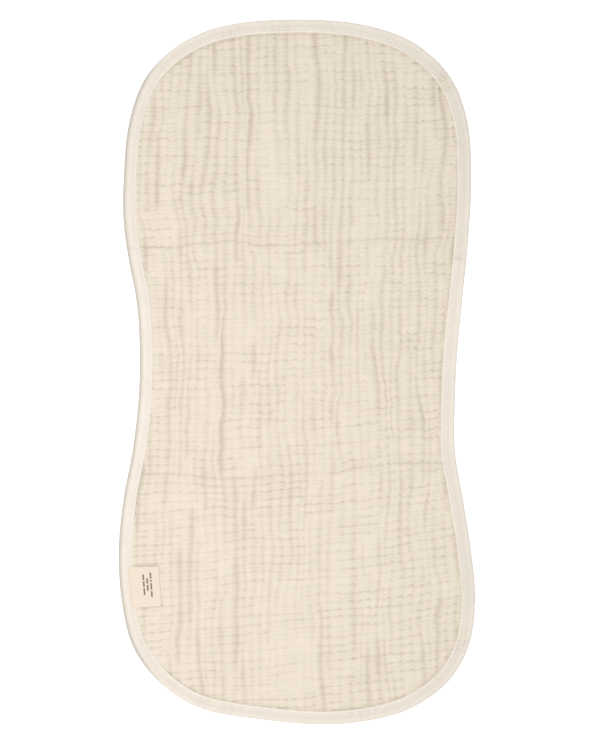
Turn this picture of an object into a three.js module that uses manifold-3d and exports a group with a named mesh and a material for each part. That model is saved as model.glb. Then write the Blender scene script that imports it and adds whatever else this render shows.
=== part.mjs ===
// Contoured burp cloth, lying open and flat: a panel of crinkled double gauze with round ends and a drawn-in
// waist, a bias binding folded round its whole edge, and a small folded tape label sewn on near one corner.
// Millimetres. X runs across the cloth, Y along it with the head end at +Y, and Z is up from its underside.
import * as THREE from 'three';
import { mergeVertices } from 'three/addons/utils/BufferGeometryUtils.js';
import Module from 'manifold-3d';

// Driving sizes of the outline
const LENGTH = 500;
const HEAD_APEX = 2.4;
const FOOT_APEX = 20;
const OUTLINE_STEPS = 140;
const EDGE_SAMPLES = 2000;

// Half-widths of the cloth by distance from the head end, left and right of the middle line. The ends of the
// binding meet on the right side, at the row named by JOIN_ROW.
const SECTIONS = [
  { down: 4.5, left: 51.8, right: 50.9 },
  { down: 17, left: 82.3, right: 83.4 },
  { down: 40, left: 106.5, right: 108.3 },
  { down: 72, left: 118.7, right: 120.8 },
  { down: 115, left: 123, right: 123.6 },
  { down: 143, left: 123, right: 122.4 },
  { down: 170, left: 119.4, right: 120.3 },
  { down: 200, left: 113.8, right: 117.2 },
  { down: 232, left: 111.6, right: 114 },
  { down: 268, left: 112.3, right: 112.1 },
  { down: 305, left: 116.5, right: 112 },
  { down: 340, left: 123, right: 117.7 },
  { down: 375, left: 126.4, right: 123.2 },
  { down: 412, left: 124.3, right: 126.4 },
  { down: 445, left: 116.1, right: 121.6 },
  { down: 470, left: 97.8, right: 106.8 },
  { down: 488, left: 69.7, right: 81.7 },
  { down: 496.3, left: 26.9, right: 55.9 },
];
const JOIN_ROW = 6;

// The stack at the edge: binding leg, gap, pressed gauze, gap, binding leg
const GAP = 0.3;
const LEG = 1;
const PRESSED = 1;
const EDGE_HEIGHT = 2 * LEG + 2 * GAP + PRESSED;

// The binding
const BINDING_WIDTH = 9.4;
const STITCH_FROM_FOLD = 1.1;
const STITCH_DIP = 0.25;
const CROWN_SHARE = 0.6;
const FOLD_CORNER = 0.3;

// The crinkle of the gauze: ribs that run the length of the cloth, on points half a rib apart
const PANEL_INSET = 1.5;
const PANEL_MEAN = 2.4;
const RIBS = 42;
const RIB_PITCH = 6.4;
const RIB_HEIGHT = 1.2;
const ROW_PITCH = 17;
const ROW_SLANT = 0.03;

// Slow waves along a rib: how far it wanders sideways, and what share of its full height it loses or gains.
// Lean is how much further on in the wave the next rib is, in radians.
const MEAN_STRENGTH = 0.7;
const WANDER_WAVES = [
  { length: 258, lean: 0.31, size: 1.3 },
  { length: 119, lean: -0.17, size: 0.65 },
];
const STRENGTH_WAVES = [
  { length: 145, lean: 1.9, size: 0.18 },
  { length: 69, lean: 4.7, size: 0.12 },
];

// Broad soft troughs along the cloth, each drifting sideways from its head end to its foot end
const TROUGHS = [
  { headX: -97, footX: -106, from: 43, to: 114, width: 6, depth: 0.35 },
  { headX: -60, footX: -71, from: 18, to: 128, width: 7, depth: 0.35 },
  { headX: -42, footX: -39, from: 18, to: 157, width: 9, depth: 0.55 },
  { headX: 16, footX: 12, from: 43, to: 157, width: 6, depth: 0.4 },
  { headX: 102, footX: 108, from: 50, to: 150, width: 6, depth: 0.35 },
  { headX: -93, footX: -91, from: 220, to: 327, width: 6, depth: 0.35 },
  { headX: -58, footX: -52, from: 160, to: 313, width: 8, depth: 0.5 },
  { headX: 30, footX: 27, from: 164, to: 290, width: 7, depth: 0.5 },
  { headX: 79, footX: 91, from: 220, to: 291, width: 6, depth: 0.35 },
  { headX: -28, footX: -40, from: 327, to: 426, width: 7, depth: 0.4 },
  { headX: 16, footX: 20, from: 355, to: 483, width: 7, depth: 0.4 },
  { headX: 57, footX: 49, from: 440, to: 476, width: 8, depth: 0.4 },
];

// Cross creases left by folding the cloth in three, measured on its middle line
const CREASE_DOWNS = [158.5, 320];
const CREASE_HALF_WIDTH = 4;
const CREASE_DEPTH = 0.4;
const CREASE_CLEARANCE = 6.5;

// The label, folded in two with its fold to the right
const LABEL_WIDTH = 21.5;
const LABEL_LENGTH = 28.6;
const LABEL_LAYER = 0.5;
const LABEL_ACROSS = -107.5;
const LABEL_DOWN = 402;
const LABEL_TURN = THREE.MathUtils.degToRad(3.8);

const wasm = await Module();
wasm.setup();

/** Y of a place given by its distance from the head end. */
function along(down) {
  return LENGTH / 2 - down;
}

/** The cloth's edge as a closed curve that starts at the binding's join and first runs up the right side. */
function edgeCurve() {
  const rightSide = SECTIONS.map(({ down, right }) => new THREE.Vector3(right, along(down), 0));
  const leftSide = SECTIONS.map(({ down, left }) => new THREE.Vector3(-left, along(down), 0));
  const head = new THREE.Vector3(HEAD_APEX, along(0), 0);
  const foot = new THREE.Vector3(FOOT_APEX, along(LENGTH), 0);
  const toHead = rightSide.slice(0, JOIN_ROW + 1).reverse();
  const fromFoot = rightSide.slice(JOIN_ROW + 1).reverse();
  const points = [...toHead, head, ...leftSide, foot, ...fromFoot];
  const curve = new THREE.CatmullRomCurve3(points, true, 'centripetal');
  curve.arcLengthDivisions = EDGE_SAMPLES;
  return curve;
}

const edge = edgeCurve();

/** The outline moved inwards, as a closed shape. */
function insetShape(inset) {
  const points = [];
  for (let step = 0; step < OUTLINE_STEPS; step += 1) {
    const point = edge.getPointAt(step / OUTLINE_STEPS);
    const tangent = edge.getTangentAt(step / OUTLINE_STEPS);
    points.push(new THREE.Vector2(point.x - tangent.y * inset, point.y + tangent.x * inset));
  }
  return new THREE.Shape(points);
}

/** A flat plate of the inset outline between two heights. */
function plate(inset, bottom, top) {
  const settings = { depth: top - bottom, bevelEnabled: false };
  return new THREE.ExtrudeGeometry(insetShape(inset), settings).translate(0, 0, bottom);
}

/** A closed geometry as a solid that can be joined and cut. */
function toSolid(geometry) {
  geometry.deleteAttribute('normal');
  geometry.deleteAttribute('uv');
  const merged = mergeVertices(geometry);
  const vertProperties = new Float32Array(merged.attributes.position.array);
  const triVerts = new Uint32Array(merged.index.array);
  return new wasm.Manifold(new wasm.Mesh({ numProp: 3, vertProperties, triVerts }));
}

/** A solid back as a geometry. */
function toGeometry(solid) {
  const { vertProperties, triVerts } = solid.getMesh();
  const geometry = new THREE.BufferGeometry();
  geometry.setAttribute('position', new THREE.BufferAttribute(new Float32Array(vertProperties), 3));
  geometry.setIndex(new THREE.BufferAttribute(new Uint32Array(triVerts), 1));
  return geometry;
}

/** A bump that is 1 at the middle and dies away by one width. */
function bump(distance, width) {
  return Math.exp(-((distance / width) ** 2) * 2);
}

/** 1 between two places, easing to 0 over one margin outside them. */
function between(value, from, to, margin) {
  const start = THREE.MathUtils.smoothstep(value, from - margin, from);
  const end = 1 - THREE.MathUtils.smoothstep(value, to, to + margin);
  return start * end;
}

/** Distances from the head end at which the crinkle has a row of points, closer together at the creases. */
function reliefRows() {
  const rows = [];
  for (let down = -ROW_PITCH; down < LENGTH + 2 * ROW_PITCH; down += ROW_PITCH) {
    const clear = CREASE_DOWNS.every((crease) => Math.abs(down - crease) > CREASE_CLEARANCE);
    if (clear) {
      rows.push(down);
    }
  }
  for (const crease of CREASE_DOWNS) {
    rows.push(crease - CREASE_HALF_WIDTH, crease, crease + CREASE_HALF_WIDTH);
  }
  return rows.sort((a, b) => a - b);
}

/** Sum of the slow waves at this distance from the head end, on the rib with this number. */
function ribWaves(waves, rib, down) {
  let sum = 0;
  for (const { length, lean, size } of waves) {
    sum += size * Math.sin((2 * Math.PI * down) / length + rib * lean);
  }
  return sum;
}

/** Height of the gauze's upper face at one point, on a rib's crest (side 1) or in a valley (side -1). */
function gauzeHeight(rib, side, across, down) {
  const strength = MEAN_STRENGTH + ribWaves(STRENGTH_WAVES, rib, down);
  let height = PANEL_MEAN + side * 0.5 * RIB_HEIGHT * strength;
  for (const { headX, footX, from, to, width, depth } of TROUGHS) {
    const course = THREE.MathUtils.clamp((down - from) / (to - from), 0, 1);
    const offTrough = across - THREE.MathUtils.lerp(headX, footX, course);
    height -= depth * bump(offTrough, width) * between(down, from, to, 3 * width);
  }
  for (const crease of CREASE_DOWNS) {
    height -= CREASE_DEPTH * bump(down - crease, CREASE_HALF_WIDTH);
  }
  return height;
}

/** The crinkled gauze as a block larger than the panel, its rows of points rising to the right. */
function crinkleBlock() {
  const rows = reliefRows();
  const columns = 2 * RIBS;
  const width = RIBS * RIB_PITCH;
  const geometry = new THREE.BoxGeometry(width, 2, 2, columns, rows.length - 1, 1);
  const position = geometry.attributes.position;
  for (let i = 0; i < position.count; i += 1) {
    const column = Math.round((position.getX(i) / width + 0.5) * columns);
    const down = rows[Math.round(((1 - position.getY(i)) / 2) * (rows.length - 1))];
    const rib = Math.floor(column / 2);
    const side = column % 2 === 0 ? 1 : -1;
    const across = position.getX(i) + ribWaves(WANDER_WAVES, rib, down);
    const height = position.getZ(i) > 0 ? gauzeHeight(rib, side, across, down) : -1;
    position.setXYZ(i, across, along(down) + ROW_SLANT * across, height);
  }
  return geometry;
}

/** Crinkled inside the binding, and pressed to a thin allowance between the binding's legs. */
function gauzePanel() {
  const inner = BINDING_WIDTH + GAP;
  const middle = toSolid(crinkleBlock()).intersect(toSolid(plate(inner, 0, 2 * EDGE_HEIGHT)));
  const allowanceBottom = LEG + GAP;
  const allowance = toSolid(plate(PANEL_INSET, allowanceBottom, allowanceBottom + PRESSED));
  const cored = allowance.subtract(toSolid(plate(inner + GAP, 0, EDGE_HEIGHT)));
  return toGeometry(middle.add(cored));
}

/** One lap of the edge, stopping one gap short of its own start. */
class BindingRun extends THREE.Curve {
  constructor() {
    super();
    this.arcLengthDivisions = EDGE_SAMPLES;
    this.lap = 1 - GAP / edge.getLength();
  }

  getPoint(t, target = new THREE.Vector3()) {
    return target.copy(edge.getPointAt(t * this.lap));
  }
}

/** Section of the folded binding: a channel, round at the edge, its upper leg dipped at the stitching. */
function bindingSection() {
  const middle = EDGE_HEIGHT / 2;
  const stitch = BINDING_WIDTH - STITCH_FROM_FOLD;
  const profile = [];
  const put = (inset, height) => profile.push(new THREE.Vector2(-height, inset));
  put(BINDING_WIDTH, 0);
  for (let turn = 0; turn <= 4; turn += 1) {
    const angle = (turn * Math.PI) / 4;
    put(middle - middle * Math.sin(angle), middle - middle * Math.cos(angle));
  }
  put(CROWN_SHARE * BINDING_WIDTH, EDGE_HEIGHT);
  put(stitch, EDGE_HEIGHT - STITCH_DIP);
  put(BINDING_WIDTH - FOLD_CORNER, EDGE_HEIGHT);
  put(BINDING_WIDTH, EDGE_HEIGHT - FOLD_CORNER);
  put(BINDING_WIDTH, EDGE_HEIGHT - LEG);
  put(middle, EDGE_HEIGHT - LEG);
  put(LEG, middle);
  put(middle, LEG);
  put(BINDING_WIDTH, LEG);
  return new THREE.Shape(profile);
}

/** The bias strip folded over the edge all the way round. */
function binding() {
  const settings = { steps: OUTLINE_STEPS, extrudePath: new BindingRun(), bevelEnabled: false };
  return new THREE.ExtrudeGeometry(bindingSection(), settings);
}

/** The tape doubled on itself, its fold to the right and its two ends together at the left. */
function label() {
  const radius = LABEL_LAYER + GAP / 2;
  const foldX = LABEL_WIDTH - radius;
  const section = new THREE.Shape();
  section.moveTo(0, 0);
  section.absarc(foldX, radius, radius, -Math.PI / 2, Math.PI / 2, false);
  section.lineTo(0, 2 * radius);
  section.lineTo(0, 2 * radius - LABEL_LAYER);
  section.absarc(foldX, radius, GAP / 2, Math.PI / 2, -Math.PI / 2, true);
  section.lineTo(0, LABEL_LAYER);
  section.closePath();
  const settings = { depth: LABEL_LENGTH, bevelEnabled: false, curveSegments: 8 };
  const geometry = new THREE.ExtrudeGeometry(section, settings);
  return geometry.rotateX(Math.PI / 2).translate(-LABEL_WIDTH / 2, LABEL_LENGTH / 2, 0);
}

/** One named piece of the cloth in its own cotton. */
function piece(name, geometry, color, roughness) {
  const mesh = new THREE.Mesh(geometry, new THREE.MeshStandardMaterial({ color, roughness, metalness: 0 }));
  mesh.name = name;
  return mesh;
}

const cloth = new THREE.Group();
const sewnLabel = piece('label', label(), 0xf6e5d3, 0.8);
sewnLabel.position.set(LABEL_ACROSS, along(LABEL_DOWN), EDGE_HEIGHT + GAP);
sewnLabel.rotation.z = LABEL_TURN;
cloth.add(piece('gauze_panel', gauzePanel(), 0xece0d0, 0.95));
cloth.add(piece('binding', binding(), 0xf2e9dd, 0.9));
cloth.add(sewnLabel);

const middle = new THREE.Box3().setFromObject(cloth).getCenter(new THREE.Vector3());
for (const sewnPiece of cloth.children) {
  sewnPiece.position.x -= middle.x;
  sewnPiece.position.y -= middle.y;
}

export default cloth;
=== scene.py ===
"""Looks of a contoured burp cloth of crinkled double gauze that lies open and flat, seen from above.

Sizes are in millimetres, with X across the cloth, Y along it to the head end and Z up. "Down" is the
distance from the head end. Meshes are in metres.
"""

import math

import bmesh
import bpy
import numpy as np
from mathutils.kdtree import KDTree
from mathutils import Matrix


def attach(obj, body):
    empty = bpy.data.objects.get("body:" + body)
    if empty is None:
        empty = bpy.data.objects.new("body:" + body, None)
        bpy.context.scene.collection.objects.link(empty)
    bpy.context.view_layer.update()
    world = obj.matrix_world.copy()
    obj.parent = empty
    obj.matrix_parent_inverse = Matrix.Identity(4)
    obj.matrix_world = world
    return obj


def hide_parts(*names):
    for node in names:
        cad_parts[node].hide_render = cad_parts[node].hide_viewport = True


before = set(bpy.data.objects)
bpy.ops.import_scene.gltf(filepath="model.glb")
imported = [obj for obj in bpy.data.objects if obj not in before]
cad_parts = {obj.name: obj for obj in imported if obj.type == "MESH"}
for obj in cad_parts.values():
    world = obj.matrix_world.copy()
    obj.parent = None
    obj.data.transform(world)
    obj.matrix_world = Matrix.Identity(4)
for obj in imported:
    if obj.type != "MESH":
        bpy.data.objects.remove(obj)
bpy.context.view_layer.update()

# The cloth's edge
# The outermost points of the CAD binding, at the middle of its height, give the edge that every piece
# follows. It starts at the binding's join on the right side and first runs up to the head end.
MM = 0.001
EDGE_MIDDLE = 1.8
STATION_GAP = 2.5
JOIN_Y = 80.0
EDGE_COUNT = 2400


def edge_stations():
    """Corners of the edge in the CAD binding, in turn round the cloth from the join."""
    corners = np.array([v.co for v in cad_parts["binding"].data.vertices]) / MM
    ring = corners[np.abs(corners[:, 2] - EDGE_MIDDLE) < 0.05][:, :2]
    ring = ring[np.argsort(np.arctan2(ring[:, 1], ring[:, 0]))]
    found = []
    for point in ring:
        if not found or np.hypot(*(point - found[-1])) > STATION_GAP:
            found.append(point)
        elif np.hypot(*point) > np.hypot(*found[-1]):
            found[-1] = point
    if np.hypot(*(found[0] - found[-1])) < STATION_GAP:
        found.pop()
    found = np.array(found)
    right = found[:, 0] > 0
    start = np.argmin(np.where(right, np.abs(found[:, 1] - JOIN_Y), 1e9))
    return np.roll(found, -start, axis=0)


def closed_curve(points, count):
    """The smooth closed line through the points, as so many points at equal distances, and its length."""
    spots = np.linspace(0, len(points), 8 * count, endpoint=False)
    first = spots.astype(int)
    t = (spots - first)[:, None]
    p0, p1, p2, p3 = (points[(first + k) % len(points)] for k in (-1, 0, 1, 2))
    line = 2 * p1 + (p2 - p0) * t
    line = line + (2 * p0 - 5 * p1 + 4 * p2 - p3) * t**2 + (3 * p1 - p0 - 3 * p2 + p3) * t**3
    line = np.vstack([line, line[:1]]) / 2
    run = np.concatenate([[0], np.cumsum(np.hypot(*np.diff(line, axis=0).T))])
    even = np.linspace(0, run[-1], count, endpoint=False)
    return np.column_stack([np.interp(even, run, line[:, k]) for k in (0, 1)]), run[-1]


edge, edge_length = closed_curve(edge_stations(), EDGE_COUNT)
along_edge = np.roll(edge, -1, axis=0) - np.roll(edge, 1, axis=0)
along_edge /= np.hypot(*along_edge.T)[:, None]
inwards = np.column_stack([-along_edge[:, 1], along_edge[:, 0]])
edge_tree = KDTree(EDGE_COUNT)
for number, (x, y) in enumerate(edge):
    edge_tree.insert((x, y, 0), number)
edge_tree.balance()


def edge_spot(run):
    """The edge point at or before each distance along the edge, and the share of the way on to the next."""
    spots = np.mod(run, edge_length) / edge_length * EDGE_COUNT
    first = np.floor(spots).astype(int)
    return first % EDGE_COUNT, spots - first


def edge_place(run, inset):
    """X and Y of points at these distances along the edge and in from it."""
    run, inset = np.broadcast_arrays(run, inset)
    first, share = edge_spot(run)
    after = (first + 1) % EDGE_COUNT
    t = share[..., None]
    place = edge[first] * (1 - t) + edge[after] * t
    return place + inset[..., None] * (inwards[first] * (1 - t) + inwards[after] * t)


def edge_inset(x, y):
    """How far in from the edge each point lies, and the number of the edge point nearest to it."""
    nearest = np.array([edge_tree.find((px, py, 0))[1] for px, py in zip(x.ravel(), y.ravel())])
    nearest = nearest.reshape(x.shape)
    off = np.stack([x, y], axis=-1) - edge[nearest]
    return (off * inwards[nearest]).sum(axis=-1), nearest


# Upper layer of the gauze
# Cotton double gauze, unbleached cream: two thin layers woven together, which crinkle in the wash into
# ribs along the cloth and finer creases across it. Grid lines lie on the valleys and close beside them.
LENGTH = 500.0
RIBS = 42
RIB_PITCH = 6.4
RIB_STEPS = (0, 0.16, 0.5, 0.84)
CREASES = 89
CREASE_PITCH = 6.0
CREASE_STEPS = (0, 0.1, 0.3, 0.5, 0.7, 0.9)
HEAD_MARGIN = 17.0

# Where the crinkle changes: from and to down the cloth, and from and to out to its sides
LOWER_HALF = (190, 380)
SIDES = (80, 105)

# How its lines wander: drawn in at the waist, unevenly spaced, offset and bowed from rib to rib
WAIST_DOWN = 262.0
WAIST_PULL = 7.0
LEAST_RIB = 0.55
SPACING_WAVE = 1.6
RIB_OFFSET = 1.0
RIB_BOW = 0.45

# How deep its valleys are, and what share of that the lip beside a crease is raised
GROOVE_DEPTH = 0.67
CREASE_DEPTH = 0.6
LIP_SHARE = 0.28
HALFWAY_DEPTH = 0.3
CROSSING_DEPTH = 0.22

# Height of its crests, and of the gauze where the binding presses it, with a ditch or a rise beside that
CREST_HEIGHT = 2.8
PRESSED_TOP = 2.3
DITCH_DEPTH = 0.7
RAISED_HEIGHT = 0.3
HIDDEN_INSET = 4.0

# The stronger lengthwise folds: share of full depth, then X and Y from point to point towards the foot.
# They draw the nearest groove onto their line, and fade out past their ends.
FOLD_DEPTH = 0.22
FOLD_WIDTH = 2.6
FOLD_PULL = 3.5
FOLD_PULL_REACH = 25
FOLD_FADE = (-8, 2)
FOLDS = (
    (0.9, (-101, 198), (-100, 182), (-103, 168), (-105, 155), (-106, 145), (-109, 130), (-111, 118)),
    (0.9, (-96, 210), (-95, 200), (-93, 188), (-94, 178), (-98, 168), (-98, 150), (-99, 120)),
    (0.5, (-88, 215), (-89, 200), (-92, 185)),
    (0.7, (-75, 225), (-76, 210), (-79, 190), (-80, 170), (-79, 152), (-82, 122)),
    (0.9, (-64, 222), (-68, 203), (-66, 195), (-70, 183), (-69, 173), (-73, 140), (-76, 110), (-77, 98)),
    (0.7, (-63, 193), (-61, 178), (-62, 160), (-67, 130)),
    (1.2, (-59, 234), (-58.5, 218)),
    (1.0, (-45, 238), (-44, 212), (-41, 178), (-43, 158), (-40, 128), (-42, 98), (-41, 82)),
    (0.9, (-36, 240), (-36, 200), (-33, 185), (-33, 175), (-37, 135), (-34, 105)),
    (0.6, (-15, 238), (-16, 220), (-15, 205), (-17, 188)),
    (0.5, (-7, 238), (-7, 222), (-5, 210)),
    (0.9, (13, 238), (14, 225), (17, 210), (14, 175), (13, 160), (14, 145), (12, 108), (14, 92)),
    (0.7, (35, 235), (34, 220), (34, 200), (33, 165)),
    (0.6, (40, 222), (41, 205), (40, 192)),
    (0.5, (50, 175), (51, 158), (51, 142)),
    (0.8, (61, 232), (62, 215), (62, 200), (60, 183)),
    (0.5, (67, 192), (67, 175)),
    (0.5, (85, 208), (86, 190), (84, 150)),
    (0.6, (98, 200), (98, 185), (99, 170)),
    (0.9, (101, 198), (104, 185), (107, 173), (104, 148), (102, 138), (103, 122), (108, 108)),
    (0.6, (38, 115), (38, 102), (37, 92)),
    (0.6, (69, 125), (71, 105)),
    (0.6, (92, 118), (92, 105), (91, 90)),
    (0.8, (-107, 88), (-107, 76)),
    (0.6, (-82, 98), (-82, 84)),
    (0.9, (-92, 60), (-93, 38), (-90, 22), (-88, -8), (-90, -20), (-89, -50), (-92, -78), (-94, -95)),
    (0.8, (-57, 75), (-57, 62), (-55, 38), (-56, 25)),
    (1.1, (-57, 22), (-54, 2), (-52, -22), (-53, -38), (-53, -52), (-55, -68)),
    (0.7, (-28, 68), (-29, 50), (-29, 35), (-30, 15), (-29, 0)),
    (0.9, (31, 88), (31, 78), (30, 60)),
    (1.1, (26, 55), (25, 42), (26, 28), (25, 15), (26, 0), (27, -12), (30, -25), (31, -34)),
    (0.6, (50, 45), (51, 32), (56, 8), (60, -20), (61, -50), (61, -80)),
    (0.6, (80, 25), (81, 12), (82, 0)),
    (0.5, (-20, -8), (-19, -20), (-16, -38)),
    (0.5, (12, -8), (14, -25), (15, -42)),
    (0.7, (68, -8), (72, -42), (74, -80), (73, -115), (76, -142)),
    (0.7, (84, -5), (86, -18), (90, -30), (93, -45), (91, -75)),
    (0.6, (-78, -30), (-78, -45), (-78, -57)),
    (0.6, (-63, -35), (-64, -50), (-66, -68), (-65, -95)),
    (0.6, (-103, -35), (-104, -50), (-104, -62)),
    (0.9, (-108, -70), (-112, -85), (-113, -110)),
    (0.6, (27, -38), (30, -50), (34, -64)),
    (0.8, (-27, -70), (-30, -80), (-31, -92)),
    (1.0, (-36, -86), (-37, -96), (-37, -105)),
    (0.4, (-2, -70), (-4, -85), (-4, -115), (-2, -130)),
    (0.6, (41, -65), (42, -95), (41, -125), (43, -145), (46, -165), (49, -198)),
    (0.6, (98, -95), (97, -110), (97, -127)),
    (0.9, (-44, -80), (-43, -95), (-42, -140), (-40, -175), (-42, -206)),
    (0.9, (-72, -100), (-75, -130), (-75, -176)),
    (0.9, (-83, -128), (-82, -160), (-82, -176), (-85, -190), (-84, -202)),
    (0.6, (17, -100), (16, -125), (17, -140), (16, -158)),
    (0.6, (65, -163), (67, -180), (67, -197)),
    (0.7, (90, -140), (88, -165), (86, -197)),
    (0.9, (102, -163), (99, -175), (98, -202)),
    (0.8, (-70, -188), (-69, -203), (-66, -227)),
    (0.8, (-55, -178), (-54, -195), (-52, -222), (-52, -232)),
    (0.6, (-38, -208), (-37, -222), (-36, -233)),
    (1.0, (18, -168), (18, -190), (17, -205), (20, -237)),
    (1.1, (50, -200), (50, -215), (51, -234)),
    (0.9, (57, -190), (59, -216), (62, -234)),
    (0.8, (93, -203), (92, -218)),
)

# A patch near the foot end where something behind has pressed the crinkle flatter, with a raised edge
PATCH_MIDDLE = (-7.0, -209.6)
PATCH_HALF = (21.5, 16.0)
PATCH_FLATTER = 0.4
PATCH_EDGE = 0.55
PATCH_EDGE_WIDTH = 1.1

# Dents where the label pulls the gauze in: from and to across, how far up the cloth
LABEL_DENTS = (
    (-114.5, -109.2, -137.2),
    (-105.8, -98.2, -136.9),
    (-110.5, -107.0, -167.6),
    (-98.4, -96.6, -165.6),
)
DENT_DEPTH = 0.75

# The two creases from folding the cloth in three: strength, then X and how far down along each
CROSS_CREASES = (
    (
        1.0, (-108, 161.5), (-84, 161.5), (-70, 158.2), (-40, 157), (-25, 159.6), (-8, 160), (12, 158),
        (38, 156.5), (55, 155.3), (85, 156), (110, 153.5),
    ),
    (
        0.5, (-110, 322), (-82, 322), (-58, 325.5), (-30, 324.5), (0, 322), (28, 321.5), (42, 317.5),
        (62, 315), (103, 314),
    ),
)
CROSS_CREASE_REACH = 12
CROSS_CREASE_ROWS = 2.5
CROSS_CREASE_DEPTH = 0.12


def smooth(value, start, end):
    """0 before start and 1 after end, eased between them."""
    t = np.clip((value - start) / (end - start), 0, 1)
    return t * t * (3 - 2 * t)


def drift(seed, across, along):
    """Smooth noise from -1 to 1 that changes from one whole number to the next in both directions."""
    size = 101
    table = np.random.default_rng(seed).uniform(-1, 1, (size, size))
    across, along = np.broadcast_arrays(across, along)
    column, row = np.floor(across).astype(int), np.floor(along).astype(int)
    u, v = smooth(across - column, 0, 1), smooth(along - row, 0, 1)
    here, after = row % size, (row + 1) % size
    left = table[column % size, here] * (1 - v) + table[column % size, after] * v
    column += 1
    right = table[column % size, here] * (1 - v) + table[column % size, after] * v
    return left * (1 - u) + right * u


def valley(position, sharpness):
    """1 on each whole number and 0 midway, with round sides."""
    return 1 - np.sin(np.pi * np.abs(position - np.round(position))) ** sharpness


def grid_lines(count, steps):
    """Places of the grid lines, at these shares of each pitch."""
    return np.concatenate([[whole + step for whole in range(count) for step in steps], [count]])


def by_rib(seed, rib, along):
    """Noise with one value a rib at each place along it, and the mean of two ribs in the groove between."""
    return (drift(seed, np.ceil(rib) - 1, along) + drift(seed, np.floor(rib), along)) / 2


def lay_creases(x, y, crease, creases):
    """Y with the creases unevenly spaced, and the crease line that is laid along each cross crease."""
    down = crease * CREASE_PITCH - HEAD_MARGIN
    crossing = np.zeros_like(x)
    for _, *points in CROSS_CREASES:
        off_line = LENGTH / 2 - y - np.interp(x, *zip(*points))
        crossing += np.exp(-((off_line / CROSS_CREASE_REACH) ** 2))
    y = y + SPACING_WAVE * (1 - crossing) * drift(32, x / 32, down / 13)
    crossed = []
    for share, *points in CROSS_CREASES:
        off_line = LENGTH / 2 - y - np.interp(x, *zip(*points))
        row = np.round(creases[np.argmin(np.abs(off_line[:, x.shape[1] // 2]))])
        y += off_line[creases == row] * np.exp(-(((crease - row) / CROSS_CREASE_ROWS) ** 2))
        crossed.append((row, share))
    return y, crossed


def draw_folds(x, y, rib, ribs, down):
    """X with a groove drawn onto each of the folds, and that groove's column and depth along it."""
    on_grooves = np.flatnonzero(ribs == np.round(ribs))
    pulled, pulling = np.zeros_like(x), np.full_like(x, 0.3)
    deepened = []
    for share, *points in FOLDS:
        line_x, line_y = np.array(points[::-1]).T
        line = np.interp(y, line_y, line_x)
        row = np.argmin(np.abs(y[:, len(ribs) // 2] - line_y.mean()))
        column = on_grooves[np.argmin(np.abs(x - line)[row, on_grooves])]
        here = slice(column, column + 1)
        near = smooth(y, line_y[0] - FOLD_PULL_REACH, line_y[0])
        near = near * (1 - smooth(y, line_y[-1], line_y[-1] + FOLD_PULL_REACH))
        near = near[:, here] / ((rib - ribs[column]) ** 2 + 0.15)
        pulled += near * np.clip(line - x, -FOLD_PULL, FOLD_PULL)[:, here]
        pulling += near
        reach = smooth(y, line_y[0] + FOLD_FADE[0], line_y[0] + FOLD_FADE[1])
        reach = reach * (1 - smooth(y, line_y[-1] - FOLD_FADE[1], line_y[-1] - FOLD_FADE[0]))
        wavering = 0.8 + 0.4 * drift(31, ribs[column] * 14.8, down / 9)
        deepened.append((column, share * reach * wavering))
    return x + pulled / pulling, deepened


def keep_apart(x, ribs):
    """X with every rib kept at least so wide, which is taken from the wider ones."""
    least = LEAST_RIB * RIB_PITCH * np.diff(ribs)[None, :]
    spare = np.maximum(np.diff(x, axis=1) - least, 0)
    spare *= ((x[:, -1] - x[:, 0] - least.sum()) / spare.sum(axis=1))[:, None]
    return np.hstack([x[:, :1], x[:, :1] + np.cumsum(least + spare, axis=1)])


def press_and_dent(x, y, depth):
    """The crinkle's depth with the pressed patch and the dents at the label."""
    outside_x = np.abs(x - PATCH_MIDDLE[0]) - PATCH_HALF[0]
    outside_y = np.abs(y - PATCH_MIDDLE[1]) - PATCH_HALF[1]
    off_patch = np.maximum(outside_x, outside_y)
    depth = depth * (1 - PATCH_FLATTER * (1 - smooth(off_patch, -2, 0)))
    depth -= PATCH_EDGE * np.exp(-((off_patch / PATCH_EDGE_WIDTH) ** 2)) * (0.4 + 0.6 * (outside_y < 0))
    for start, end, dent_y in LABEL_DENTS:
        beside = np.maximum(np.maximum(start - x, x - end), 0)
        depth += DENT_DEPTH * np.exp(-((beside / 0.8) ** 2) - (((y - dent_y) / 0.7) ** 2))
    return depth


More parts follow.
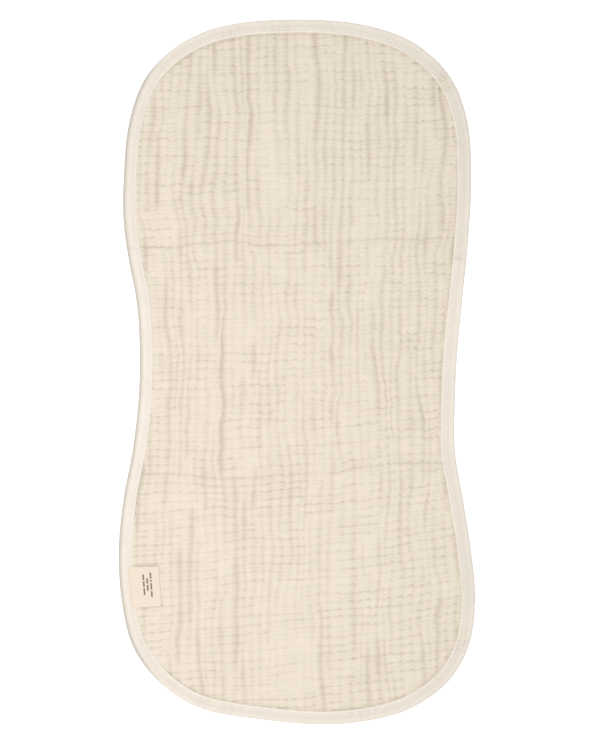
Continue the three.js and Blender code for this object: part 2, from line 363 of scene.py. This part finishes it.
def crinkle(ribs, creases):
    """X, Y and the depth drawn in at every crossing of these grid lines, a row for each crease line."""
    rib, crease = np.meshgrid(ribs, creases)
    flat_x = (rib - RIBS / 2) * RIB_PITCH
    down = crease * CREASE_PITCH - HEAD_MARGIN
    lower = smooth(down, *LOWER_HALF)
    groove_number, crease_number = np.round(rib), np.round(crease)
    across_rib = rib - np.floor(rib)
    in_groove = rib == groove_number

    # where the lines run
    x = flat_x + 1.0 * drift(11, rib * 0.8, down / 55) + 1.4 * drift(12, flat_x / 25, down / 90)
    x += 1.0 * drift(17, rib * 0.9, down / 18) + 0.35 * drift(16, rib * 2.3, crease * 1.1)
    x -= WAIST_PULL * (flat_x / 115) ** 3 * np.exp(-(((down - WAIST_DOWN) / 85) ** 2))
    y = LENGTH / 2 - down + (0.01 + 0.055 * lower) * x + 0.0003 * lower * np.maximum(x, 0) ** 2
    y += 0.5 * drift(14, rib / 3, down / 25)
    y, crossed = lay_creases(x, y, crease, creases)
    x, deepened = draw_folds(x, y, rib, ribs, down)
    x = keep_apart(x, ribs)

    # the grooves between ribs, and the stronger folds
    groove = 0.5 + 0.42 * drift(21, groove_number, down / 24) + 0.3 * drift(22, groove_number, down / 110)
    fold_depth = np.zeros_like(x)
    for column, fold in deepened:
        offset = x - x[:, column : column + 1]
        fold_depth += FOLD_DEPTH * fold * np.exp(-((offset / FOLD_WIDTH) ** 2))
        groove += 0.6 * fold * (groove_number == ribs[column])
    groove = np.clip(groove * (1.05 - 0.25 * lower), 0.05, 1.3)

    # how each crease is offset, bowed and slanted on each rib, more in a saw's shape on the right side
    y += RIB_OFFSET * (1 - 0.45 * lower) * by_rib(13, rib, crease * 0.65)
    tilt = np.where(in_groove, 0, 1.35 * (across_rib - 0.5))
    bow = ~in_groove * (1 - 8 * np.abs(across_rib - 0.5) ** 2)
    y -= RIB_BOW * (1 - 0.75 * lower) * bow
    right = smooth(flat_x, -10, 60)
    slant = 0.6 + 0.35 * right + (0.5 * right - 0.3) * lower
    slant_range = 1.1 + (1.3 * right - 0.7) * lower
    y += tilt * (slant + slant_range * np.maximum(by_rib(15, rib, crease * 0.8), -0.4))

    # how strong each crease is, deepest at the right of each rib
    strength = 0.52 + 0.26 * drift(23, crease_number, x / 12) + 0.22 * drift(24, crease_number, x / 45)
    strength *= 0.95 + 0.36 * lower + 0.4 * smooth(np.abs(flat_x), 85, 108)
    strength = np.clip(strength * (1 + 0.7 * by_rib(28, rib, crease_number * 0.61)), 0.08, 1.1)
    strength *= np.where(in_groove, 1.1, 0.35 + 1.2 * across_rib)
    for row, share in crossed:
        strength += share * (crease_number == row) * np.clip(0.5 + 0.45 * drift(25, rib * 0.7, row), 0, 1)
        fold_depth += CROSS_CREASE_DEPTH * np.exp(-(((crease - row) * CREASE_PITCH / 3) ** 2))

    # the valleys, a raised lip beside each crease, a faint crease halfway and beads where valleys cross
    rib_valley = valley(rib, 1.0)
    crease_valley = valley(crease, 0.35)
    crease_valley -= LIP_SHARE * np.isclose(crease % 1, 0.9) + LIP_SHARE / 2 * np.isclose(crease % 1, 0.1)
    halfway = 0.25 + drift(26, rib * 0.8, crease * 1.3) + 0.4 * smooth(np.abs(flat_x), *SIDES)
    halfway = HALFWAY_DEPTH * np.clip(halfway, 0, 1) * np.isclose(crease % 1, 0.5)
    beads = CROSSING_DEPTH * rib_valley * crease_valley * (0.4 + groove) * (0.5 + strength)
    depth = GROOVE_DEPTH * groove * rib_valley + CREASE_DEPTH * strength * crease_valley
    depth = press_and_dent(x, y, depth + beads + halfway) + fold_depth
    return x, y, np.minimum(depth, 1.2 + 0.35 * (depth - 1.2))


def grid_piece(name, points, outside=None):
    """A mesh over a grid of points, less the cells whose corners are all outside."""
    rows, columns = points.shape[:2]
    bm = bmesh.new()
    bmesh.ops.create_grid(bm, x_segments=columns - 1, y_segments=rows - 1, size=1)
    for vertex in bm.verts:
        column = round((vertex.co.x + 1) / 2 * (columns - 1))
        row = round((1 - vertex.co.y) / 2 * (rows - 1))
        vertex.index = row * columns + column
    order = [vertex.index for vertex in bm.verts]
    placed = points.reshape(-1, 3)[order] * MM
    for vertex, place in zip(bm.verts, placed.tolist()):
        vertex.co = place
    grid_index = bm.verts.layers.int.new("grid_index")
    for vertex, number in zip(bm.verts, order):
        vertex[grid_index] = number
    if outside is not None:
        flags = outside.ravel()
        gone = [face for face in bm.faces if all(flags[v[grid_index]] for v in face.verts)]
        bmesh.ops.delete(bm, geom=gone, context="FACES")
    mesh = bpy.data.meshes.new(name)
    bm.to_mesh(mesh)
    bm.free()
    mesh.shade_smooth()
    piece = bpy.data.objects.new(name, mesh)
    bpy.context.scene.collection.objects.link(piece)
    return piece


def set_share(piece, name, values):
    """Gives each vertex of a grid piece its value of a shader attribute."""
    order = np.zeros(len(piece.data.vertices), int)
    piece.data.attributes["grid_index"].data.foreach_get("value", order)
    attribute = piece.data.attributes.new(name, "FLOAT", "POINT")
    attribute.data.foreach_set("value", values.ravel()[order].astype(np.float32))


def colour(hexadecimal):
    """An sRGB colour as the linear one that shaders take."""
    parts = [int(hexadecimal[k : k + 2], 16) / 255 for k in (1, 3, 5)]
    return (*[c / 12.92 if c <= 0.04045 else ((c + 0.055) / 1.055) ** 2.4 for c in parts], 1)


def add_node(tree, kind, settings=None, links=None):
    """A new shader node. Settings are its options or fixed inputs, links are {input: (node, output)}."""
    made = tree.nodes.new(kind)
    for key, value in (settings or {}).items():
        if isinstance(key, str) and hasattr(made, key):
            setattr(made, key, value)
        else:
            made.inputs[key].default_value = value
    for key, (source, output) in (links or {}).items():
        tree.links.new(source.outputs[output], made.inputs[key])
    return made


def cotton(name, plain, shade_colour=None, shade_attribute="binding_painted_shade", weave_pitch=1.0, weave=0.0, fibres=0.0, speckle=0.0):
    """Matt cotton that turns from its plain colour to a deeper one by a vertex attribute of painted shade,
    with a woven bump.

    Weave and fibres are the depths of the bump in mm, speckle the share by which the tone varies.
    """
    material = bpy.data.materials.new(name)
    material.use_nodes = True
    tree = material.node_tree
    tree.nodes.clear()
    place = add_node(tree, "ShaderNodeTexCoord")
    in_cloth = (place, "Object")

    def noise(size, detail, roughness, where):
        """The output of a noise texture whose largest forms are so many mm."""
        settings = {"Scale": 1 / (size * MM), "Detail": detail, "Roughness": roughness}
        return (add_node(tree, "ShaderNodeTexNoise", settings, {"Vector": where}), "Fac")

    def maths(operation, first, second):
        """The output of two values combined."""
        return (add_node(tree, "ShaderNodeMath", {"operation": operation}, {0: first, 1: second}), 0)

    def bump(depth, links):
        """The output of a bump so many mm deep."""
        return (add_node(tree, "ShaderNodeBump", {"Strength": 1.0, "Distance": depth * MM}, links), 0)

    # Painted shade: the vertex attribute turns the plain colour towards the shade colour.
    painted_shade = add_node(tree, "ShaderNodeAttribute", {"attribute_name": shade_attribute})
    tones = {"data_type": "RGBA", 6: colour(plain), 7: colour(shade_colour or plain)}
    base = add_node(tree, "ShaderNodeMix", tones, {0: (painted_shade, "Fac")})
    clouds_and_specks = maths("ADD", noise(14, 5.0, 0.7, in_cloth), noise(1.3, 2.0, 0.5, in_cloth))
    spread = {"From Min": 0.6, "From Max": 1.4, "To Min": 1 - speckle, "To Max": 1 + speckle}
    shade = add_node(tree, "ShaderNodeMapRange", spread, {"Value": clouds_and_specks})
    multiply = {"data_type": "RGBA", "blend_type": "MULTIPLY", 0: 1.0}
    tinted = add_node(tree, "ShaderNodeMix", multiply, {6: (base, 2), 7: (shade, "Result")})

    threads = []
    for direction in ("X", "Y"):
        wave = {
            "wave_type": "BANDS",
            "bands_direction": direction,
            "Scale": math.pi / 10 / (weave_pitch * MM),
            "Distortion": 1.5,
            "Detail": 1.0,
            "Detail Scale": 1.0,
        }
        threads.append((add_node(tree, "ShaderNodeTexWave", wave, {"Vector": in_cloth}), "Fac"))
    woven = maths("MULTIPLY", maths("MAXIMUM", *threads), noise(4, 2.0, 0.5, in_cloth))
    stretched = (add_node(tree, "ShaderNodeMapping", {"Scale": (0.3, 1.0, 1.0)}, {"Vector": in_cloth}), 0)
    fibre_noise = noise(1.4, 3.0, 0.6, stretched)
    relief = bump(fibres, {"Height": fibre_noise, "Normal": bump(weave, {"Height": woven})})

    matt = {"Roughness": 0.95, "Specular IOR Level": 0.2, "Sheen Weight": 0.05, "Sheen Roughness": 0.6}
    cloth = add_node(tree, "ShaderNodeBsdfPrincipled", matt, {"Base Color": (tinted, 2), "Normal": relief})
    add_node(tree, "ShaderNodeOutputMaterial", None, {"Surface": (cloth, 0)})
    return material


# The threads are 0.5 mm apart in real double gauze, which is too fine for the picture, so they are drawn
# 1.1 mm apart.
gauze_cotton = cotton(
    "cotton_double_gauze",
    plain="#E2D6C6",
    # The deeper colour is painted shade for the valleys and creases.
    shade_colour="#C8BCAA",
    shade_attribute="painted_shade",
    weave_pitch=1.1,
    weave=0.08,
    fibres=0.65,
    speckle=0.05,
)


def faces_left(number):
    """How far the edge at these edge points faces left, from 0 to 1."""
    return smooth(inwards[number][..., 0], 0.6, 0.9)


def gauze_layer(name, place, inset, nearest, painted_shade):
    """A layer of the gauze that ends between the binding's legs, with painted shade in its valleys by the
    share given.
    """
    outside = inset < HIDDEN_INSET
    hem_line = edge_place(nearest / EDGE_COUNT * edge_length, HIDDEN_INSET)
    x, y, z = place
    x, y = np.where(outside, hem_line[..., 0], x), np.where(outside, hem_line[..., 1], y)
    piece = grid_piece(name, np.stack([x, y, z], axis=-1), outside)
    set_share(piece, "painted_shade", np.clip(painted_shade, 0, 1))
    piece.data.materials.append(gauze_cotton)
    return piece


x, y, depth = crinkle(grid_lines(RIBS, RIB_STEPS), grid_lines(CREASES, CREASE_STEPS))
inset, nearest = edge_inset(x, y)
left = faces_left(nearest)
ditch = np.exp(-(((inset - 10.3) / 0.9) ** 2)) * (1 - left)
raised = np.exp(-(((inset - 11.0) / 3.0) ** 2)) * left
z = CREST_HEIGHT + 0.1 * drift(27, x / 17, y / 23) - depth - DITCH_DEPTH * ditch + RAISED_HEIGHT * raised
z = PRESSED_TOP + (z - PRESSED_TOP) * smooth(inset, 8.6, 9.8)
# Painted shade: deeper with the depth of the valleys and creases, and in the ditch beside the binding.
gauze_upper = gauze_layer("gauze_upper", (x, y, z), inset, nearest, depth / 1.2 + 0.4 * ditch)
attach(gauze_upper, "root")
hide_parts("gauze_panel")

# Lower layer of the gauze
# The same cotton, joined to the upper layer along the same lines, seen only from below. Its crests rest on
# the surface, and its edge lies between the binding's legs.
LOWER_STEPS = (0, 0.25, 0.75)
REST_HEIGHT = 0.15
LIFT_SHARE = 0.3
PRESSED_BOTTOM = 1.25

x, y, depth = crinkle(grid_lines(RIBS, LOWER_STEPS), grid_lines(CREASES, LOWER_STEPS))
inset, nearest = edge_inset(x, y)
z = REST_HEIGHT + LIFT_SHARE * depth
z = PRESSED_BOTTOM + (z - PRESSED_BOTTOM) * smooth(inset, 8.4, 10.2)
# Painted shade in its valleys, as on the upper layer.
gauze_lower = gauze_layer("gauze_lower", (x, y, z), inset, nearest, depth / 1.5)
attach(gauze_lower, "root")
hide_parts("gauze_panel")

# Binding
# Plain-woven cotton bias strip, cream and a little paler than the gauze, its edges turned in, folded over
# the cloth's edge all the way round and stitched close to its inner folds. Its end laps over its start.
BINDING_WIDTH = 9.4
BINDING_STEPS = 1600
LAP = 7.0
LAP_RISE = 0.3
LAP_DROP = 0.08
FACE_HEIGHT = 3.1
FACE_WAVE = 0.12
PUCKER_DEPTH = 0.7

# Creases in its upper face: X and Y of each end, half-width and depth. Left, right, head end and foot end.
BINDING_CREASES = (
    (-120.5, 88.6, -112.5, 88.0, 0.9, 0.6),
    (-117.5, -66.0, -107.5, -67.0, 1.0, 0.45),
    (-119.0, -74.5, -110.0, -74.0, 0.9, 0.5),
    (116.0, 95.3, 120.0, 97.5, 0.8, 0.3),
    (115.8, 89.6, 119.8, 93.0, 0.9, 0.6),
    (114.4, 81.6, 119.6, 85.5, 0.9, 0.6),
    (113.5, 79.9, 120.0, 79.2, 0.5, 0.4),
    (104.9, -64.8, 111.5, -63.0, 0.9, 0.6),
    (105.5, -67.6, 111.8, -66.6, 0.6, 0.35),
    (106.5, -70.8, 112.3, -69.2, 0.8, 0.6),
    (-55.5, 240.0, -55.2, 236.0, 0.8, 0.5),
    (-52.2, 243.0, -51.6, 236.0, 0.7, 0.6),
    (-46.8, 244.0, -46.4, 238.0, 0.8, 0.6),
    (-44.2, 242.2, -44.4, 239.0, 0.6, 0.5),
    (-40.6, 245.7, -40.2, 239.5, 0.8, 0.5),
    (-16.5, 245.7, -16.0, 242.1, 0.6, 0.6),
    (-12.6, 245.7, -12.0, 241.7, 0.6, 0.6),
    (-5.6, 247.5, -5.6, 241.3, 0.7, 0.4),
    (39.8, -241.8, 38.6, -246.0, 0.8, 0.5),
    (45.9, -240.6, 46.4, -246.8, 0.8, 0.7),
    (48.3, -240.8, 47.9, -245.5, 0.6, 0.4),
    (52.2, -240.6, 52.6, -245.0, 0.8, 0.5),
    (56.6, -238.9, 57.0, -244.0, 0.8, 0.5),
    (64.1, -236.6, 64.3, -240.8, 0.8, 0.4),
    (-89.6, -219.4, -91.0, -222.8, 0.8, 0.5),
    (-85.1, -220.3, -88.0, -225.6, 0.8, 0.6),
    (-79.0, -224.7, -80.9, -229.1, 0.8, 0.5),
    (-75.0, -227.3, -75.9, -230.9, 0.8, 0.5),
    (-67.4, -231.8, -68.4, -235.6, 0.8, 0.5),
    (-62.1, -233.4, -62.6, -237.5, 0.8, 0.5),
    (-50.3, -235.8, -51.1, -242.4, 0.8, 0.7),
    (-45.3, -238.0, -45.5, -242.4, 0.8, 0.6),
    (-39.0, -238.8, -39.2, -243.0, 0.8, 0.5),
)

# Painted shade along its right and left sides: Y and share
RIGHT_PAINTED_SHADE = (
    (-235, 0.08), (-210, 0.09), (-185, 0.08), (-160, 0.15), (-135, 0.17), (-110, 0.12), (-86, 0.09),
    (-36, 0.05), (0, 0), (60, 0), (80, 0.02), (88, 0.05), (113, 0.1), (138, 0.14), (162, 0.16),
    (187, 0.13), (212, 0.09), (237, 0.04),
)
LEFT_PAINTED_SHADE = (
    (-235, 0.08), (-185, 0.11), (-135, 0.09), (-110, 0.06), (-86, 0.08), (-60, 0.03), (40, 0.03),
    (88, 0.1), (137, 0.11), (187, 0.1), (212, 0.07), (237, 0.04),
)

# Its section from the lower turned-in edge round to the upper one: inset, then height above the ground
# for the lower leg and height below its upper face for the upper leg
LOWER_LEG = (
    (2.2, 0.95), (5.5, 0.95), (8.5, 0.93), (9.45, 0.82), (9.7, 0.55), (9.45, 0.25), (8.3, 0.16),
    (6.2, 0.1), (4.2, 0.1), (2.4, 0.16), (1.2, 0.4), (0.45, 0.85), (0.08, 1.4),
)
UPPER_LEG = (
    (0.1, 1.0), (0.5, 0.42), (1.2, 0.1), (2.2, 0.02), (3.4, 0), (4.6, 0), (5.8, 0), (7.0, 0), (7.9, 0.02),
    (8.5, 0.05), (9.0, 0.02), (9.4, 0.1), (9.65, 0.3), (9.6, 0.45), (8.9, 0.6), (5.5, 0.64), (2.2, 0.64),
)
INNER_FOLD_UNDERSIDE = 2.42


def face_dents(run, inset):
    """Depth of the creases and the small puckers in the binding's upper face."""
    number = edge_spot(run)[0]
    before, after = inwards[(number - 20) % EDGE_COUNT], inwards[(number + 20) % EDGE_COUNT]
    bend = smooth(np.hypot(*np.moveaxis(after - before, -1, 0)), 0.05, 0.35)
    gathered = (np.maximum(0, drift(46, run / 19, 0.5)) + 0.3) * (0.4 + 0.6 * bend)
    dents = PUCKER_DEPTH * gathered * (1 + drift(41, (run + 0.4 * inset) / 2.6, inset / 9))
    place = edge_place(run, inset)
    for start_x, start_y, end_x, end_y, width, depth in BINDING_CREASES:
        start, course = np.array((start_x, start_y)), np.array((end_x - start_x, end_y - start_y))
        share = np.clip((place - start) @ course / (course @ course), 0, 1)
        off = place - start - share[..., None] * course
        dents = dents + depth * np.exp(-(off**2).sum(axis=-1) / width**2)
    return dents * (1 - 0.8 * smooth(inset, 7.2, 9))


def face_height(run, inset):
    """Height of the binding's upper face: domed on the left side, elsewhere a trough with a lip."""
    left = faces_left(edge_spot(run)[0])
    share = np.clip(inset / BINDING_WIDTH, 0, 1)
    dome = np.sin(np.pi * share) ** 0.8
    lip = np.exp(-(((inset - 8.9) / 0.9) ** 2))
    shape = left * (0.3 * dome - 0.25 * share) + (1 - left) * (0.45 * lip - 0.22 * dome)
    waves = FACE_WAVE * drift(42, run / 21, inset / 12)
    return FACE_HEIGHT + shape + waves - face_dents(run, inset)


def lap_share(run):
    """How far the strip is raised at these distances to lie over its own start, from 0 to 1."""
    return smooth(run, edge_length - LAP - 2, edge_length - LAP)


run = np.linspace(-LAP, edge_length, BINDING_STEPS)[:, None]
flat_inset, section_height = np.array(LOWER_LEG + UPPER_LEG).T[:, None, :]
upper = np.arange(flat_inset.size)[None, :] >= len(LOWER_LEG)
wander = 0.22 * drift(43, run / 17, 0.5) + 0.12 * drift(44, run / 5, 0.5)
inset = flat_inset + wander * smooth(flat_inset, 6, 9)
height = np.where(upper, face_height(run, inset) - section_height, section_height)
inner_fold = (flat_inset > 8.5) & (section_height > 0.4) & upper
height = np.where(inner_fold, INNER_FOLD_UNDERSIDE, height)
height = height + lap_share(run) * np.where(upper, LAP_RISE, -LAP_DROP) * np.where(inset > 1, 1, 0.4)
place = edge_place(run, inset)
binding = grid_piece("binding_strip", np.concatenate([place, height[..., None]], axis=-1))
left = faces_left(edge_spot(run)[0])
# Painted shade on the binding: a dark band along the left side's outer edge and a little over its inner
# half, and down the middle trough of the other sides.
binding_shade = left * (0.7 * (1 - smooth(inset, 1.2, 3.0)) + 0.03 + 0.1 * smooth(inset, 5, 7.5))
binding_shade += (1 - left) * 0.2 * np.exp(-(((inset - 4.8) / 1.9) ** 2))
# Painted shade along both sides, from the tables.
for side, tones in ((1, RIGHT_PAINTED_SHADE), (-1, LEFT_PAINTED_SHADE)):
    binding_shade += np.interp(place[..., 1], *zip(*tones)) * smooth(side * place[..., 0], -20, 20)
# Painted shade in the creases and puckers, and a painted shadow at the lapping end.
binding_shade += 0.12 * face_dents(run, inset) + 0.4 * np.exp(-(((run - edge_length) / 0.5) ** 2))
set_share(binding, "binding_painted_shade", np.clip(binding_shade, 0, 1))

# Its threads are 0.35 mm apart, drawn 0.9 mm apart for the same reason.
binding_cotton = cotton(
    # The second colour is painted shade.
    "cotton_bias_binding", "#E7DED2", "#B9B2A7", weave_pitch=0.9, weave=0.04, fibres=0.35, speckle=0.04
)
binding.data.materials.append(binding_cotton)
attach(binding, "root")
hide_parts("binding")

# Stitching of the binding
# White cotton thread in one line of lockstitch, 2.8 mm a stitch, on the upper face and on the lower one.
STITCH = 2.8
STITCH_INSET = 8.5
THREAD_RADIUS = 0.2
LOWER_SEAM_HEIGHT = 0.3
STEPS_A_STITCH = 6
THREAD_SIDES = 6


def thread(name, run, inset, surface, face):
    """A thread along the edge, on a surface and into it between stitches. Face is 1 up and -1 down."""
    phase = np.mod(run / STITCH, 1)
    into = np.maximum(0, 1 - 7 * np.minimum(phase, 1 - phase))
    middle = surface + face * (0.5 * THREAD_RADIUS - 2.6 * THREAD_RADIUS * into)
    turn = np.linspace(0, 2 * np.pi, THREAD_SIDES + 1)[None, :]
    place = edge_place(run[:, None], inset[:, None] + THREAD_RADIUS * np.cos(turn))
    height = middle[:, None] + THREAD_RADIUS * np.sin(turn)
    return grid_piece(name, np.concatenate([place, height[..., None]], axis=-1))


count = round(edge_length / STITCH)
run = np.linspace(0, count * STITCH, count * STEPS_A_STITCH + 1) * edge_length / (count * STITCH)
line = STITCH_INSET + 0.15 * drift(45, run / 30, 0.5)
seam_height = face_height(run, line) + LAP_RISE * lap_share(run) - 0.05
stitches_upper = thread("stitches_upper", run, line, seam_height, 1)
stitches_lower = thread("stitches_lower", run, line, np.full(run.shape, LOWER_SEAM_HEIGHT), -1)
thread_cotton = cotton("cotton_thread", "#F1EBE1")
for line_of_thread in (stitches_upper, stitches_lower):
    line_of_thread.data.materials.append(thread_cotton)
    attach(line_of_thread, "root")

# Label
# Cotton tape in a warmer cream, doubled with its fold to the right, and sewn down along its left edge,
# over the binding's inner fold. Its edges towards the head and the foot stand off the gauze a little.
LABEL_CORNERS = ((-119.6, -138.2), (-97.8, -137.6), (-116.9, -167.2), (-95.9, -165.6))
LABEL_SIZE = (21.5, 28.6)
LABEL_ROWS = 36
LABEL_LAYER = 0.42
LABEL_CLEARANCE = 0.08
LABEL_ON_GAUZE = 3.0
HEAD_END_LIFT = 0.35
FOOT_END_LIFT = 0.15
SEAM_FROM_EDGE = 0.6


def label_place(across, down, layer):
    """Points of the label by their share across and down, on its top (layer 1) or underside (layer 0)."""
    head_left, head_right, foot_left, foot_right = (np.array(corner) for corner in LABEL_CORNERS)
    across, down, layer = np.broadcast_arrays(across, down, layer)
    u, v = across[..., None], down[..., None]
    place = (head_left * (1 - u) + head_right * u) * (1 - v) + (foot_left * (1 - u) + foot_right * u) * v
    inset, nearest = edge_inset(place[..., 0], place[..., 1])
    under = face_height(nearest / EDGE_COUNT * edge_length, inset) + LABEL_CLEARANCE
    height = under + (LABEL_ON_GAUZE - under) * smooth(inset, 9.0, 11.5)
    height = height + HEAD_END_LIFT * (1 - smooth(down, 0, 0.2)) * smooth(across, 0.15, 0.4)
    height = height + FOOT_END_LIFT * smooth(down, 0.85, 1) * smooth(across, 0.2, 0.5)
    seam = np.exp(-(((across * LABEL_SIZE[0] - SEAM_FROM_EDGE) / 0.5) ** 2))
    gap = LABEL_LAYER * (1 - 0.5 * seam)
    return np.concatenate([place, (height + layer * gap)[..., None]], axis=-1)


flat_shares = np.linspace(0, 0.97, 14)
fold_turn = np.linspace(-np.pi / 2, np.pi / 2, 7)[1:-1]
across = np.concatenate([flat_shares, 0.98 + 0.02 * np.cos(fold_turn), flat_shares[::-1]])
layer = np.concatenate([np.zeros(14), 0.5 + 0.5 * np.sin(fold_turn), np.ones(14)])
down = np.linspace(0, 1, LABEL_ROWS)[:, None]
label = grid_piece("label_tape", label_place(across[None, :], down, layer[None, :]))
label_cotton = cotton("cotton_label_tape", "#E0D1C1", weave_pitch=0.8, weave=0.03, fibres=0.1, speckle=0.02)
label.data.materials.append(label_cotton)
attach(label, "root")
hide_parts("label")

# Stitching of the label
# Tan cotton thread in one line of short stitches, just inside the label's left edge.
LABEL_STITCH = 2.0
LABEL_THREAD_ACROSS = 0.2
LABEL_THREAD_UP = 0.16

steps = np.linspace(0.02, 0.98, 120)
phase = np.mod(steps * LABEL_SIZE[1] / LABEL_STITCH, 1)
sunk = 0.35 * np.maximum(0, 1 - 5 * np.minimum(phase, 1 - phase))
line = label_place(SEAM_FROM_EDGE / LABEL_SIZE[0], steps, 1.0)
turn = np.linspace(0, 2 * np.pi, THREAD_SIDES + 1)[None, :]
seam = np.repeat(line[:, None, :], THREAD_SIDES + 1, axis=1)
seam[..., 0] += LABEL_THREAD_ACROSS * np.cos(turn)
seam[..., 2] += LABEL_THREAD_UP * (0.5 + np.sin(turn)) - sunk[:, None]
label_stitches = grid_piece("label_stitches", seam)
label_stitches.data.materials.append(cotton("cotton_label_thread", "#D9B994"))
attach(label_stitches, "root")

# Printing on the label
# Three lines of plain brown dashes that run down the tape: share across it, then from and to down it.
PRINT_LINES = (
    (0.47, ((0.19, 0.33), (0.36, 0.5), (0.53, 0.7))),
    (0.59, ((0.29, 0.42), (0.45, 0.6))),
    (0.71, ((0.15, 0.3), (0.33, 0.38), (0.41, 0.58), (0.61, 0.76))),
)
DASH_SHARE = 0.055
INK_LIFT = 0.03

dashes = []
for middle, spans in PRINT_LINES:
    for start, end in spans:
        share = np.array([middle - DASH_SHARE / 2, middle + DASH_SHARE / 2])[None, :]
        patch = label_place(share, np.linspace(start, end, 9)[:, None], 1.0)
        patch[..., 2] += INK_LIFT
        dashes.append(grid_piece("label_print", patch))
with bpy.context.temp_override(active_object=dashes[0], selected_editable_objects=dashes):
    bpy.ops.object.join()
label_print = dashes[0]
label_print.name = "label_print"
label_print.data.materials.append(cotton("printing_ink", "#85766A"))
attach(label_print, "root")

# Floor
# A plain white surface under the cloth.
bpy.ops.mesh.primitive_plane_add(size=6)
floor = bpy.context.object
floor.name = "floor"
paper = bpy.data.materials.new("white_paper")
paper.use_nodes = True
paper_inputs = paper.node_tree.nodes["Principled BSDF"].inputs
paper_inputs["Base Color"].default_value = (0.93, 0.93, 0.93, 1)
paper_inputs["Roughness"].default_value = 1.0
paper_inputs["Specular IOR Level"].default_value = 0.0
paper_inputs["Emission Color"].default_value = (1, 1, 1, 1)
paper_inputs["Emission Strength"].default_value = 0.3
floor.data.materials.append(paper)

# Light
# An even white room, and one large soft lamp overhead, off to the left and the foot end.
world = bpy.data.worlds.new("white_room")
world.use_nodes = True
world_inputs = world.node_tree.nodes["Background"].inputs
world_inputs["Color"].default_value = (1, 1, 1, 1)
world_inputs["Strength"].default_value = 0.42
bpy.context.scene.world = world
lamp_data = bpy.data.lights.new("overhead_lamp", "AREA")
lamp_data.shape = "RECTANGLE"
lamp_data.size = 0.7
lamp_data.size_y = 0.7
lamp_data.energy = 14.8
lamp = bpy.data.objects.new("overhead_lamp", lamp_data)
lamp.location = (-0.24, -0.1, 1.28)
bpy.context.scene.collection.objects.link(lamp)

# Camera
# Straight above, with the head end up.
camera_data = bpy.data.cameras.new("camera")
camera_data.lens = 85
camera_data.sensor_width = 36
camera = bpy.data.objects.new("camera", camera_data)
camera.location = (0.00227, -0.00209, 1.2575)
bpy.context.scene.collection.objects.link(camera)
bpy.context.scene.camera = camera
bpy.context.scene.view_settings.view_transform = "Standard"
